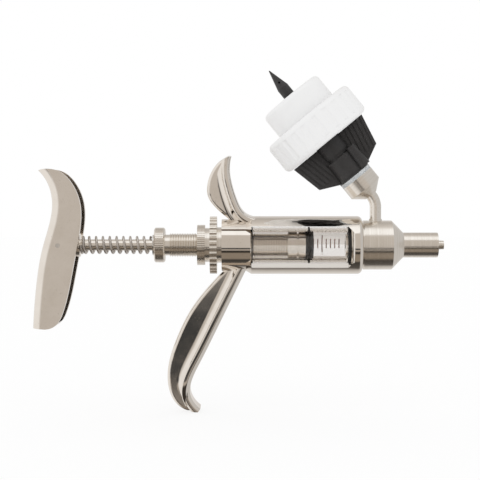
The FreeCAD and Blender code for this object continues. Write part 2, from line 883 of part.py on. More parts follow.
def make_piston():
    turned(
        "piston_rod",
        backward(
            [
                (rod_rear, "(0 * rod_radius)"),
                (rod_rear, "rod_radius"),
                (piston_front, "rod_radius"),
                (piston_front, "stud_radius"),
                (f"({piston_front} - stud_length)", "stud_radius"),
                (f"({piston_front} - stud_length)", "(0 * rod_radius)"),
            ]
        ),
    )
    groove_rear = f"({piston_rear} - piston_groove_from_rear)"
    groove_front = f"({groove_rear} - piston_groove_width)"
    turned(
        "piston_body",
        backward(
            [
                (piston_rear, "(rod_radius + seat_gap)"),
                (piston_rear, "piston_radius"),
                (groove_rear, "piston_radius"),
                (groove_rear, "(piston_radius - piston_groove_depth)"),
                (groove_front, "(piston_radius - piston_groove_depth)"),
                (groove_front, "piston_radius"),
                (piston_front, "piston_radius"),
                (piston_front, "(rod_radius + seat_gap)"),
            ]
        ),
    )
    ring_centre = f"({piston_front} - ring_from_head_rear)"
    ring_rear_side = f"({ring_centre} + ring_section_radius + seat_gap)"
    ring_front_side = f"({ring_centre} - ring_section_radius - seat_gap)"
    ring_mean = "(glass_bore_radius - ring_squeeze_gap - ring_section_radius)"
    ring_bed = f"({ring_mean} - ring_section_radius - seat_gap)"
    stud_end = f"({piston_front} - stud_length - seat_gap)"
    stud_hole = "(stud_radius + seat_gap)"
    turned(
        "piston_head",
        backward(
            [
                (piston_front, stud_hole),
                (piston_front, "head_radius"),
                (ring_rear_side, "head_radius"),
                (ring_rear_side, ring_bed),
                (ring_front_side, ring_bed),
                (ring_front_side, "head_radius"),
                (head_front, "head_radius"),
                (head_front, "(0 * head_radius)"),
                (stud_end, "(0 * head_radius)"),
                (stud_end, stud_hole),
            ]
        ),
    )
    ring = doc.addObject("Part::Torus", "piston_o_ring")
    ring.setExpression("Radius1", bound(ring_mean))
    ring.setExpression("Radius2", bound("ring_section_radius"))
    ring.Placement = FreeCAD.Placement(
        FreeCAD.Vector(), FreeCAD.Rotation(FreeCAD.Vector(0, 1, 0), 90)
    )
    ring.setExpression("Placement.Base.x", bound(f"-{ring_centre}"))


# palm handle: (back from the boss's front face, height above the axis)
HANDLE_FRONT = [
    (18.6, 34.2), (13.3, 34.9), (8.5, 33.7), (4.8, 30.8), (1.6, 26.2), (-0.5, 20.8), (-1.3, 13.0),
    (-0.5, 5.3), (2.6, -11.2), (7.0, -30.3), (10.2, -36.3), (15.5, -38.3),
]
HANDLE_PALM = [
    (21.2, -37.9), (19.9, -20.1), (16.7, -1.0), (13.1, 12.0), (12.3, 18.5), (13.6, 26.5), (18.6, 34.2),
]


def make_handle():
    body = new_body("handle")
    seat = size(handle_front)
    front = [(-seat - back, height) for back, height in HANDLE_FRONT]
    palm = [(-seat - back, height) for back, height in HANDLE_PALM]
    palm_curve = spline_through(palm)
    outline = new_sketch(body, "XZ_Plane")
    draw_loop(outline, [spline_through(front), line_between(front[-1], palm[0]), palm_curve])
    extrude(body, outline, "handle_width", both_ways=True)
    doc.recompute()
    palm_edges = []
    side = size("handle_width / 2")
    middle = palm[len(palm) // 2]
    for number, edge in enumerate(body.Shape.Edges, start=1):
        on_side = all(abs(abs(vertex.Point.y) - side) < 0.001 for vertex in edge.Vertexes)
        point = FreeCAD.Vector(middle[0], math.copysign(side, edge.Vertexes[0].Point.y), middle[1])
        if on_side and edge.distToShape(Part.Vertex(point))[0] < 0.001:
            palm_edges.append(f"Edge{number}")
    round_edges(body, palm_edges, "palm_round")
    wall = size("handle_wall")
    inside = beside(palm_curve, palm, wall)
    inside[0] = (inside[0][0], palm[0][1] + wall)
    overhang = (inside[-1][0], inside[-1][1] + 4 * wall)
    ahead = -seat + 4 * wall
    channel = new_sketch(body, "XZ_Plane")
    draw_loop(
        channel,
        [
            spline_through(inside),
            line_between(inside[-1], overhang),
            line_between(overhang, (ahead, overhang[1])),
            line_between((ahead, overhang[1]), (ahead, inside[0][1])),
            line_between((ahead, inside[0][1]), inside[0]),
        ],
    )
    extrude(body, channel, "handle_width - 2 * handle_wall", "Pocket", both_ways=True)
    boss = new_sketch(body, "YZ_Plane", f"-{handle_front}")
    draw_circle(boss, "0 * seat_gap", "0 * seat_gap", "boss_radius")
    extrude(body, boss, "boss_length", reverse=True)
    rod_seat = new_sketch(body, "YZ_Plane", f"-{handle_front}")
    draw_circle(rod_seat, "0 * seat_gap", "0 * seat_gap", "rod_radius + seat_gap")
    extrude(body, rod_seat, "rod_seat_depth + seat_gap", "Pocket")
    pin_hole = new_sketch(body, "XZ_Plane")
    draw_circle(pin_hole, f"-{pin_back}", "0 * seat_gap", "pin_radius + seat_gap")
    extrude(body, pin_hole, "2 * handle_width", "Pocket", both_ways=True)
    return body


def make_handle_pin():
    body = new_body("handle_pin")
    sketch = new_sketch(body, "XZ_Plane")
    draw_circle(sketch, f"-{pin_back}", "0 * seat_gap", "pin_radius")
    extrude(body, sketch, "handle_width - 2 * pin_end_gap", both_ways=True)


def drill_rod_for_pin():
    """The cross pin's hole through the rod."""
    body = doc.getObject("piston_rod")
    sketch = new_sketch(body, "XZ_Plane")
    draw_circle(sketch, f"-{pin_back}", "0 * seat_gap", "pin_radius + seat_gap")
    extrude(body, sketch, "4 * rod_radius", "Pocket", both_ways=True)


# inlet tube, port cup and inlet valve

def make_inlet_tube():
    body = new_body("inlet_tube")
    foot = size("tube_foot_height + seat_gap")
    across = -size(inlet_back)
    lean = math.radians(size("port_lean"))
    radius = size("bend_radius")
    bend_start = size("bend_height") - radius * math.tan(lean / 2)
    top_across = size(f"-{port_back} - {tube_end} * sin(port_lean * 1 deg)")
    top_height = size(f"{port_height} + {tube_end} * cos(port_lean * 1 deg)")
    centre = FreeCAD.Vector(across - radius, bend_start, 0)
    bend = Part.ArcOfCircle(Part.Circle(centre, FreeCAD.Vector(0, 0, 1), radius), 0, lean)
    bend_end = (bend.EndPoint.x, bend.EndPoint.y)
    spine = new_sketch(body, "XZ_Plane")
    spine.addGeometry(line_between((across, foot), (across, bend_start)), False)
    spine.addGeometry(bend, False)
    spine.addGeometry(line_between(bend_end, (top_across, top_height)), False)
    spine.addConstraint(Sketcher.Constraint("Coincident", 0, 2, 1, 1))
    spine.addConstraint(Sketcher.Constraint("Coincident", 1, 2, 2, 1))
    section = new_sketch(body, "XY_Plane", "tube_foot_height + seat_gap")
    draw_circle(section, f"-{inlet_back}", "0 * seat_gap", "tube_radius")
    draw_circle(section, f"-{inlet_back}", "0 * seat_gap", "tube_bore_radius")
    pipe = body.newObject("PartDesign::AdditivePipe", "inlet_tube_pipe")
    pipe.Profile = section
    pipe.Spine = (spine, ["Edge1", "Edge2", "Edge3"])
    root = new_sketch(body, "XY_Plane", "tube_foot_height + seat_gap")
    draw_circle(root, f"-{inlet_back}", "0 * seat_gap", "tube_root_radius")
    draw_circle(root, f"-{inlet_back}", "0 * seat_gap", "tube_radius - seat_gap")
    extrude(body, root, "tube_root_height - tube_foot_height")
    return body


def make_port_cup():
    seat_recess = "(inlet_seat_radius + seat_gap)"
    tube_seat = "(tube_radius + seat_gap)"
    body = turned(
        "port_cup",
        [
            (cup_foot, tube_seat),
            (cup_foot, "cup_neck_radius"),
            (cup_shoulder, "cup_radius"),
            (cup_rim, "cup_radius"),
            (cup_rim, seat_recess),
            (inlet_seat_face, seat_recess),
            (inlet_seat_face, "inlet_chamber_radius"),
            (inlet_chamber_floor, "inlet_chamber_radius"),
            (inlet_chamber_floor, "tube_bore_radius"),
            (f"({tube_end} + seat_gap)", "tube_bore_radius"),
            (f"({tube_end} + seat_gap)", tube_seat),
        ],
    )
    stand_on_port(body)


def make_inlet_valve():
    seat = turned(
        "inlet_seat",
        tube_profile(inlet_seat_face, cup_rim, "inlet_hole_radius", "inlet_seat_radius"),
    )
    stand_on_port(seat)
    ball = doc.addObject("Part::Sphere", "inlet_ball")
    ball.setExpression("Radius", bound("inlet_ball_radius"))
    along = f"({inlet_ball_station})"
    ball.setExpression("Placement.Base.x", bound(f"-{port_back} - {along} * sin(port_lean * 1 deg)"))
    ball.setExpression("Placement.Base.z", bound(f"{port_height} + {along} * cos(port_lean * 1 deg)"))
    rest = (
        f"({inlet_ball_station} - sqrt(inlet_ball_radius ^ 2 - inlet_spring_radius ^ 2) - valve_gap)"
    )
    spring = coil(
        "inlet_spring",
        inlet_chamber_floor,
        f"({rest} - {inlet_chamber_floor})",
        "inlet_spring_radius",
        "inlet_wire_radius",
        "inlet_spring_turns",
    )
    start = f"({inlet_chamber_floor} + inlet_wire_radius)"
    spring.Placement = FreeCAD.Placement(
        FreeCAD.Vector(), FreeCAD.Rotation(FreeCAD.Vector(0, -1, 0), size("port_lean"))
    )
    spring.setExpression("Placement.Base.x", bound(f"-{port_back} - {start} * sin(port_lean * 1 deg)"))
    spring.setExpression("Placement.Base.z", bound(f"{port_height} + {start} * cos(port_lean * 1 deg)"))


def make_port_washer():
    washer = turned(
        "port_washer",
        tube_profile(cup_rim, "(0 * cup_radius)", "inlet_hole_radius", "cup_radius"),
    )
    stand_on_port(washer)


# spike adapter and bottle collar

def add_wings(body):
    """Two flat wings: a thin plate with ribs that run along its slanted outer edge."""
    run = "(wing_top - wing_shoulder)"
    slant = f"((wing_top_half_width - wing_shoulder_half_width) / {run})"
    for side in ("", "-"):
        plate = new_sketch(body, "XZ_Plane")
        draw_outline(
            plate,
            [
                ("wing_foot", "0 * wing_top"),
                ("wing_foot", f"{side}hub_radius"),
                ("wing_shoulder", f"{side}wing_shoulder_half_width"),
                ("wing_top", f"{side}wing_top_half_width"),
                ("wing_top", "0 * wing_top"),
            ],
        )
        extrude(body, plate, "wing_thickness", both_ways=True)
        for rib in range(int(size("ribs_per_wing"))):
            outer = f"(wing_shoulder_half_width - {rib} * rib_pitch)"
            inner = f"(wing_shoulder_half_width - {rib + 1} * rib_pitch + rib_gap)"
            sketch = new_sketch(body, "XZ_Plane")
            draw_outline(
                sketch,
                [
                    ("wing_shoulder", f"{side}{inner}"),
                    ("wing_shoulder", f"{side}{outer}"),
                    ("wing_top", f"{side}({outer} + {slant} * {run})"),
                    ("wing_top", f"{side}({inner} + {slant} * {run})"),
                ],
            )
            extrude(body, sketch, "rib_thickness", both_ways=True)


def make_spike_adapter():
    bore_end = f"({spike_shoulder} + spike_bore_overrun)"
    skirt_radius = "(flange_radius - flange_wall)"
    skirt_roof = f"({flange_top} - flange_wall)"
    body = turned(
        "spike_adapter",
        [
            ("(0 * hub_length)", "spike_bore_radius"),
            ("(0 * hub_length)", "cup_radius"),
            ("hub_foot_length", "cup_radius"),
            ("hub_foot_length", "hub_radius"),
            ("hub_length", "hub_radius"),
            ("hub_length", "hub_neck_radius"),
            (neck_top, "hub_neck_radius"),
            (neck_top, "upper_hub_radius"),
            (skirt_roof, "upper_hub_radius"),
            (skirt_roof, skirt_radius),
            (flange_foot, skirt_radius),
            (flange_foot, "flange_radius"),
            (flange_top, "flange_radius"),
            (flange_top, "spike_root_radius"),
            (spike_root_top, "spike_root_radius"),
            (spike_root_top, "spike_radius"),
            (spike_shoulder, "spike_radius"),
            (spike_tip, "spike_tip_radius"),
            (spike_tip, "(0 * spike_tip_radius)"),
            (bore_end, "(0 * spike_tip_radius)"),
            (bore_end, "spike_bore_radius"),
        ],
    )
    add_wings(body)
    vent_across = "(vent_offset * cos(45 deg))"
    vent = new_sketch(body, "YZ_Plane", "hub_foot_length")
    draw_circle(vent, f"-{vent_across}", f"-{vent_across}", "vent_radius")
    boss = extrude(body, vent, "vent_height - hub_foot_length")
    boss.setExpression("TaperAngle", bound("-atan((vent_radius - vent_top_radius) / vent_height)"))
    vent_hole = new_sketch(body, "YZ_Plane", "vent_height - vent_bore_depth")
    draw_circle(vent_hole, f"-{vent_across}", f"-{vent_across}", "vent_bore_radius")
    extrude(body, vent_hole, "2 * vent_bore_depth", "Pocket", reverse=True)
    side_hole = new_sketch(body, "XZ_Plane")
    draw_circle(side_hole, f"{spike_shoulder} + side_hole_from_shoulder", "0 * seat_gap", "side_hole_radius")
    extrude(body, side_hole, "2 * spike_radius", "Pocket", reverse=True)
    stand_on_port(body)
    plug = new_body("vent_plug")
    disc = new_sketch(plug, "YZ_Plane", "vent_height - vent_bore_depth")
    draw_circle(disc, f"-{vent_across}", f"-{vent_across}", "vent_bore_radius - seat_gap")
    extrude(plug, disc, "vent_plug_length")
    stand_on_port(plug)


def make_bottle_collar():
    spike_hole = "(spike_root_radius + bottle_collar_gap)"
    body = turned(
        "bottle_collar",
        [
            (collar_foot, "large_socket_radius"),
            (collar_foot, "large_ring_radius"),
            (large_ring_top, "large_ring_radius"),
            (large_ring_top, "small_ring_radius"),
            (collar_top, "small_ring_radius"),
            (collar_top, "small_socket_radius"),
            (web_top, "small_socket_radius"),
            (web_top, spike_hole),
            (web_foot, spike_hole),
            (web_foot, "large_socket_radius"),
        ],
    )
    doc.recompute()
    large_edges = circle_edges(
        body, [(collar_foot, "large_ring_radius"), (large_ring_top, "large_ring_radius")]
    )
    round_edges(body, large_edges, "large_ring_edge")
    doc.recompute()
    small_edges = circle_edges(body, [(collar_top, "small_ring_radius")])
    round_edges(body, small_edges, "small_ring_edge")
    flute = new_sketch(body, "YZ_Plane", f"{collar_foot} + large_ring_edge")
    draw_circle(flute, "0 * seat_gap", "large_ring_radius + flute_radius - flute_depth", "flute_radius")
    cut = extrude(
        body, flute, "large_ring_length - 2 * large_ring_edge", "Pocket", reverse=True
    )
    repeat_round(body, cut, "flutes")
    stand_on_port(body)


make_luer_lock_collar()
make_needle_cone()
make_valve_body()
make_outlet_valve()
make_frame()
make_glass_barrel()
make_gaskets()
make_barrel_cap()
make_lock_nut()
make_dose_screw()
make_return_spring()
make_piston()
make_handle()
make_handle_pin()
drill_rod_for_pin()
make_inlet_tube()
make_port_cup()
make_inlet_valve()
make_port_washer()
make_spike_adapter()
make_bottle_collar()
doc.recompute()

broken = [item.Label for item in doc.Objects if {"Invalid", "Error"} & set(item.State)]
if broken:
    raise RuntimeError(f"these objects failed: {broken}")

NODE_TYPES = ("PartDesign::Body", "Part::Sphere", "Part::Torus", "Part::Sweep")
nodes = [item for item in doc.Objects if item.TypeId in NODE_TYPES]
for node in nodes:
    if node.Shape.isNull() or not node.Shape.isValid():
        raise RuntimeError(f"{node.Label} has no valid shape")
for node in nodes:
    node.Shape.exportStep(f"parts/{node.Label}.step")
print(f"{len(nodes)} parts written")
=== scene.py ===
import math

import bpy
import numpy
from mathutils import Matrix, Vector


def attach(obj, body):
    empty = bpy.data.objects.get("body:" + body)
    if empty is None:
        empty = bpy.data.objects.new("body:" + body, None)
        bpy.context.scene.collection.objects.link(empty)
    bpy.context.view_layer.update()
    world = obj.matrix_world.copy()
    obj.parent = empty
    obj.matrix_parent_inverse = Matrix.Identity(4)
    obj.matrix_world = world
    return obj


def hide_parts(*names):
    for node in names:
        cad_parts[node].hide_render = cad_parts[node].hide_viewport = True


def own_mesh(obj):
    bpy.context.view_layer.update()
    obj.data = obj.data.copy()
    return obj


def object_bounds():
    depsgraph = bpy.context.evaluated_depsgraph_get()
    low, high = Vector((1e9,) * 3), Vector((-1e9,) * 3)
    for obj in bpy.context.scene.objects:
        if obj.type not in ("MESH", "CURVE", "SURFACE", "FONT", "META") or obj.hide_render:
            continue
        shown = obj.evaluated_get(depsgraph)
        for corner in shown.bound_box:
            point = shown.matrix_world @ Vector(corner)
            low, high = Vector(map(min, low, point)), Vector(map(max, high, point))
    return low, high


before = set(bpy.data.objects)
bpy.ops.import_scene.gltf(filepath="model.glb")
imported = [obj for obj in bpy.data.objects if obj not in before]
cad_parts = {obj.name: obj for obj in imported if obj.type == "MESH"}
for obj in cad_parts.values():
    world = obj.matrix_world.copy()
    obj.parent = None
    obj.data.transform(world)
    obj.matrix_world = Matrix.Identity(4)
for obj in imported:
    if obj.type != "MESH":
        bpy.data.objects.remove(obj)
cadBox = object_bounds()
print("frame loaded with", len(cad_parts), "nodes")

mm = 0.001
portLean = math.radians(39.5)  # the bottle port leans back by this much from upright
portBase = Vector((-38.20, 0, 32.267)) * mm  # the port's axis at the top of the port washer


# short ways to add nodes

def addNode(tree, kind, place, **settings):
    node = tree.nodes.new(kind)
    node.location = (place[0] * 190, place[1] * 170)
    for name, value in settings.items():
        setattr(node, name, value)
    return node


def mathNode(tree, operation, place, first=None, second=None):
    node = addNode(tree, "ShaderNodeMath", place, operation=operation)
    for socket, value in zip(node.inputs, (first, second)):
        if isinstance(value, (int, float)):
            socket.default_value = value
        elif value is not None:
            tree.links.new(value, socket)
    return node.outputs[0]


def remap(tree, place, value, low, high, toLow=0.0, toHigh=1.0):
    node = addNode(tree, "ShaderNodeMapRange", place)
    for name, number in (("From Min", low), ("From Max", high), ("To Min", toLow), ("To Max", toHigh)):
        node.inputs[name].default_value = number
    tree.links.new(value, node.inputs["Value"])
    return node.outputs["Result"]


def noise(tree, place, vector, scale, detail=3.0, roughness=0.55):
    node = addNode(tree, "ShaderNodeTexNoise", place)
    node.inputs["Scale"].default_value = scale
    node.inputs["Detail"].default_value = detail
    node.inputs["Roughness"].default_value = roughness
    tree.links.new(vector, node.inputs["Vector"])
    return node.outputs["Fac"]


def mixColour(tree, place, factor, first, second):
    node = addNode(tree, "ShaderNodeMix", place, data_type="RGBA")
    for socket, value in ((node.inputs[0], factor), (node.inputs[6], first), (node.inputs[7], second)):
        if isinstance(value, tuple):
            socket.default_value = (*value, 1)
        else:
            tree.links.new(value, socket)
    return node.outputs[2]


def newGroup(name, inputs, outputs):
    group = bpy.data.node_groups.new(name, "ShaderNodeTree")
    for label, value in inputs.items():
        kind = "NodeSocketVector" if value is None else "NodeSocketFloat"
        socket = group.interface.new_socket(label, in_out="INPUT", socket_type=kind)
        if value is not None:
            socket.default_value = value
    for label in outputs:
        group.interface.new_socket(label, in_out="OUTPUT", socket_type="NodeSocketFloat")
    start = addNode(group, "NodeGroupInput", (-5, 0))
    end = addNode(group, "NodeGroupOutput", (7, 0))
    return group, start.outputs, end.inputs


def placeGroup(tree, group, place, vector, **settings):
    node = addNode(tree, "ShaderNodeGroup", place, node_tree=group)
    tree.links.new(vector, node.inputs["Vector"])
    for name, value in settings.items():
        node.inputs[name].default_value = value
    return node.outputs


# effects that several materials share

turningEffect = {"patches": 90.0, "broadScale": 0.18, "broadShare": 0.8, "toneFrom": (0.35, 0.65)}
castEffect = {
    "pitFrom": (0.16, 0.07), "pitRegions": 420.0, "regionFrom": (0.56, 0.64), "pitDepth": -0.25,
    "clouds": 160.0, "cloudFrom": (0.3, 0.7),
}
grainEffect = {"patches": 130.0, "patchFrom": (0.3, 0.7)}


def makeTurningLines():
    group, start, end = newGroup(
        "turningLines", {"Vector": None, "Lines": 9000.0, "Wobble": 0.4}, ("Height", "Tone")
    )
    split = addNode(group, "ShaderNodeSeparateXYZ", (-4, 0))
    group.links.new(start["Vector"], split.inputs[0])
    across = addNode(group, "ShaderNodeCombineXYZ", (-3, -1))
    group.links.new(split.outputs["Y"], across.inputs["X"])
    group.links.new(split.outputs["Z"], across.inputs["Y"])
    radius = addNode(group, "ShaderNodeVectorMath", (-2, -1), operation="LENGTH")
    group.links.new(across.outputs[0], radius.inputs[0])
    along = mathNode(group, "MULTIPLY", (-1, 0), split.outputs["X"], start["Lines"])
    outward = mathNode(group, "MULTIPLY", (-1, -1), radius.outputs["Value"], start["Lines"])
    patch = noise(group, (-1, -2), start["Vector"], turningEffect["patches"], 1.0)
    drift = mathNode(group, "MULTIPLY", (0, -2), patch, start["Wobble"])
    place = addNode(group, "ShaderNodeCombineXYZ", (1, 0))
    group.links.new(along, place.inputs["X"])
    group.links.new(outward, place.inputs["Y"])
    group.links.new(drift, place.inputs["Z"])
    fine = noise(group, (2, 0), place.outputs[0], 1.0, 2.0, 0.6)
    broad = noise(group, (2, -1), place.outputs[0], turningEffect["broadScale"], 1.0)
    both = mathNode(group, "MULTIPLY_ADD", (3, 0), broad, turningEffect["broadShare"])
    group.links.new(fine, both.node.inputs[2])
    group.links.new(both, end["Height"])
    group.links.new(remap(group, (4, -1), broad, *turningEffect["toneFrom"]), end["Tone"])
    return group


def makeCastSkin():
    group, start, end = newGroup(
        "castSkin", {"Vector": None, "Wave": 90.0, "Pits": 900.0}, ("Height", "Pit", "Cloud")
    )
    wave = addNode(group, "ShaderNodeTexNoise", (-2, 1))
    wave.inputs["Detail"].default_value = 1.0
    group.links.new(start["Vector"], wave.inputs["Vector"])
    group.links.new(start["Wave"], wave.inputs["Scale"])
    spots = addNode(group, "ShaderNodeTexVoronoi", (-2, -1))
    group.links.new(start["Vector"], spots.inputs["Vector"])
    group.links.new(start["Pits"], spots.inputs["Scale"])
    seldom = noise(group, (-2, -2), start["Vector"], castEffect["pitRegions"], 1.0)
    pit = remap(group, (0, -1), spots.outputs["Distance"], *castEffect["pitFrom"])
    there = remap(group, (0, -2), seldom, *castEffect["regionFrom"])
    pitMask = mathNode(group, "MULTIPLY", (1, -1), pit, there)
    lowered = mathNode(group, "MULTIPLY", (2, -1), pitMask, castEffect["pitDepth"])
    group.links.new(mathNode(group, "ADD", (3, 0), wave.outputs["Fac"], lowered), end["Height"])
    group.links.new(pitMask, end["Pit"])
    cloud = noise(group, (0, -3), start["Vector"], castEffect["clouds"], 4.0, 0.6)
    group.links.new(remap(group, (1, -3), cloud, *castEffect["cloudFrom"]), end["Cloud"])
    return group


def makeFineGrain():
    group, start, end = newGroup("fineGrain", {"Vector": None, "Grain": 2500.0}, ("Height", "Patch"))
    grain = addNode(group, "ShaderNodeTexNoise", (-2, 0))
    grain.inputs["Detail"].default_value = 2.0
    group.links.new(start["Vector"], grain.inputs["Vector"])
    group.links.new(start["Grain"], grain.inputs["Scale"])
    group.links.new(grain.outputs["Fac"], end["Height"])
    patch = noise(group, (-2, -1), start["Vector"], grainEffect["patches"], 3.0)
    group.links.new(remap(group, (0, -1), patch, *grainEffect["patchFrom"]), end["Patch"])
    return group


turningLines = makeTurningLines()
castSkin = makeCastSkin()
fineGrain = makeFineGrain()


# materials

def newMaterial(name, **settings):
    material = bpy.data.materials.new(name)
    material.use_nodes = True
    tree = material.node_tree
    tree.nodes.clear()
    shader = addNode(tree, "ShaderNodeBsdfPrincipled", (6, 0))
    output = addNode(tree, "ShaderNodeOutputMaterial", (8, 0))
    tree.links.new(shader.outputs[0], output.inputs["Surface"])
    for label, value in settings.items():
        shader.inputs[label.replace("_", " ")].default_value = value
    return material, tree, shader


def objectPlace(tree, onPort=False):
    coordinates = addNode(tree, "ShaderNodeTexCoord", (-5, 0))
    if not onPort:
        return coordinates.outputs["Object"]
    turn = addNode(tree, "ShaderNodeMapping", (-4, 0), vector_type="TEXTURE")  # the port's axis becomes X
    turn.inputs["Location"].default_value = portBase
    turn.inputs["Rotation"].default_value = (0, -(math.pi / 2 + portLean), 0)
    tree.links.new(coordinates.outputs["Object"], turn.inputs["Vector"])
    return turn.outputs[0]


def bump(tree, shader, height, depth):
    node = addNode(tree, "ShaderNodeBump", (4, -3))
    node.inputs["Strength"].default_value = 1.0
    node.inputs["Distance"].default_value = depth
    tree.links.new(height, node.inputs["Height"])
    tree.links.new(node.outputs[0], shader.inputs["Normal"])


def feed(tree, shader, mask, colours, roughness):  # each pair runs from the mask's zero to its one
    tree.links.new(mixColour(tree, (2, 1), mask, *colours), shader.inputs["Base Color"])
    tree.links.new(remap(tree, (2, -1), mask, 0, 1, *roughness), shader.inputs["Roughness"])


castPlate = {
    "colour": (0.83, 0.785, 0.73), "dull": (0.79, 0.74, 0.68), "pit": (0.40, 0.36, 0.32), "wave": 60.0,
    "pits": 1100.0, "depth": 0.00007, "roughness": {"framePlate": (0.10, 0.05), "handlePlate": (0.17, 0.12)},
}
turnedPlate = {
    "colour": (0.83, 0.79, 0.735), "dull": (0.78, 0.735, 0.675), "roughness": (0.22, 0.17), "lines": 9000.0,
    "depth": 0.0000012,
}
steels = {
    "springSteel": {"colour": (0.62, 0.58, 0.54), "roughness": (0.36, 0.24)},
    "groundSteel": {"colour": (0.74, 0.72, 0.69), "roughness": (0.28, 0.16)},
}
steelGrain = {"dullness": 0.82, "scale": 1800.0, "depth": 0.000008}
barrelGlass = {
    "colours": ((0.905, 0.89, 0.875), (0.92, 0.905, 0.89)), "roughness": (0.0, 0.012), "scale": 900.0,
}
mouldedGrain = {"scale": 2600.0}
moulded = {
    "blackRubber": {
        "colours": ((0.012, 0.012, 0.012), (0.02, 0.019, 0.018)), "roughness": (0.38, 0.55), "depth": 0.00001,
    },
    "blackPlastic": {
        "colours": ((0.027, 0.0255, 0.026), (0.036, 0.034, 0.034)), "roughness": (0.42, 0.54),
        "depth": 0.000018,
    },
    "whitePlastic": {
        "colours": ((0.89, 0.89, 0.89), (0.90, 0.90, 0.90)), "roughness": (0.30, 0.38), "depth": 0.000003,
    },
    "clearPlastic": {
        "colours": ((0.80, 0.83, 0.85), (0.86, 0.89, 0.90)), "roughness": (0.22, 0.34), "depth": 0.00001,
        "plain": {"Transmission_Weight": 0.45, "IOR": 1.5},
    },
    "filterFelt": {
        "colours": ((0.72, 0.71, 0.67), (0.86, 0.85, 0.82)), "roughness": (0.85, 0.95), "depth": 0.00012,
    },
    "scaleInk": {
        "colours": ((0.82, 0.36, 0.26), (0.88, 0.42, 0.32)), "roughness": (0.45, 0.6), "depth": 0.000004,
    },
}


def makeCastPlate(name):
    material, tree, shader = newMaterial(name, Metallic=1.0)
    skin = placeGroup(
        tree, castSkin, (-2, 0), objectPlace(tree), Wave=castPlate["wave"], Pits=castPlate["pits"]
    )
    tone = mixColour(tree, (2, 1), skin["Cloud"], castPlate["dull"], castPlate["colour"])
    tree.links.new(mixColour(tree, (4, 1), skin["Pit"], tone, castPlate["pit"]), shader.inputs["Base Color"])
    roughness = remap(tree, (2, -1), skin["Cloud"], 0, 1, *castPlate["roughness"][name])
    tree.links.new(roughness, shader.inputs["Roughness"])
    bump(tree, shader, skin["Height"], castPlate["depth"])
    return material


def makeTurnedPlate(name, onPort=False):
    material, tree, shader = newMaterial(name, Metallic=1.0)
    lines = placeGroup(tree, turningLines, (-2, 0), objectPlace(tree, onPort), Lines=turnedPlate["lines"])
    feed(tree, shader, lines["Tone"], (turnedPlate["dull"], turnedPlate["colour"]), turnedPlate["roughness"])
    bump(tree, shader, lines["Height"], turnedPlate["depth"])
    return material


def makeSteel(name):
    look = steels[name]
    material, tree, shader = newMaterial(name, Metallic=1.0)
    grain = placeGroup(tree, fineGrain, (-2, 0), objectPlace(tree), Grain=steelGrain["scale"])
    duller = tuple(steelGrain["dullness"] * part for part in look["colour"])
    feed(tree, shader, grain["Patch"], (duller, look["colour"]), look["roughness"])
    bump(tree, shader, grain["Height"], steelGrain["depth"])
    return material


def makeMoulded(name):
    look = moulded[name]
    material, tree, shader = newMaterial(name, **look.get("plain", {}))
    grain = placeGroup(tree, fineGrain, (-2, 0), objectPlace(tree), Grain=mouldedGrain["scale"])
    feed(tree, shader, grain["Patch"], look["colours"], look["roughness"])
    bump(tree, shader, grain["Height"], look["depth"])
    return material


def makeGlass():
    material, tree, shader = newMaterial("barrelGlass", Transmission_Weight=1.0, IOR=1.5)
    grain = placeGroup(tree, fineGrain, (-2, 0), objectPlace(tree), Grain=barrelGlass["scale"])
    feed(tree, shader, grain["Patch"], barrelGlass["colours"], barrelGlass["roughness"])
    return material


materials = {name: makeCastPlate(name) for name in castPlate["roughness"]}
materials["turnedPlate"] = makeTurnedPlate("turnedPlate")
materials["turnedPlatePort"] = makeTurnedPlate("turnedPlatePort", onPort=True)
for name in steels:
    materials[name] = makeSteel(name)
materials["barrelGlass"] = makeGlass()
for name in moulded:
    materials[name] = makeMoulded(name)

nodeFinish = {
    "framePlate": ("frame",),
    "handlePlate": ("handle",),
    "turnedPlate": (
        "luer_lock_collar", "needle_cone", "valve_body", "barrel_cap", "lock_nut", "dose_screw",
        "piston_rod", "piston_body",
    ),
    "turnedPlatePort": ("inlet_tube", "port_cup"),
    "springSteel": ("outlet_spring", "inlet_spring", "return_spring"),
    "groundSteel": ("outlet_ball", "inlet_ball", "spring_seat", "handle_pin"),
    "barrelGlass": ("glass_barrel",),
    "blackRubber": ("front_gasket", "rear_gasket", "piston_head", "piston_o_ring", "inlet_seat"),
    "blackPlastic": ("spike_adapter",),
    "whitePlastic": ("bottle_collar",),
    "clearPlastic": ("port_washer",),
    "filterFelt": ("vent_plug",),
}
for finish, names in nodeFinish.items():
    for name in names:
        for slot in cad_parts[name].material_slots:
            slot.material = materials[finish]
print("materials made:", len(materials))


# ways to model by hand in a script

def deselectAll():
    if bpy.context.object and bpy.context.object.mode != "OBJECT":
        bpy.ops.object.mode_set(mode="OBJECT")
    bpy.ops.object.select_all(action="DESELECT")


def makeActive(piece):
    deselectAll()
    piece.select_set(True)
    bpy.context.view_layer.objects.active = piece


def namePiece(name, finish):
    piece = bpy.context.object
    piece.name = name
    piece.data.name = name
    piece.data.materials.clear()
    piece.data.materials.append(materials[finish])
    return piece


def applyPlace(piece):
    makeActive(piece)
    bpy.ops.object.transform_apply(location=True, rotation=True, scale=True)


def applyModifiers(piece):
    makeActive(piece)
    for modifier in list(piece.modifiers):
        bpy.ops.object.modifier_apply(modifier=modifier.name)


def joinPieces(pieces):
    deselectAll()
    for piece in pieces:
        piece.select_set(True)
    bpy.context.view_layer.objects.active = pieces[0]
    bpy.ops.object.join()
    return pieces[0]


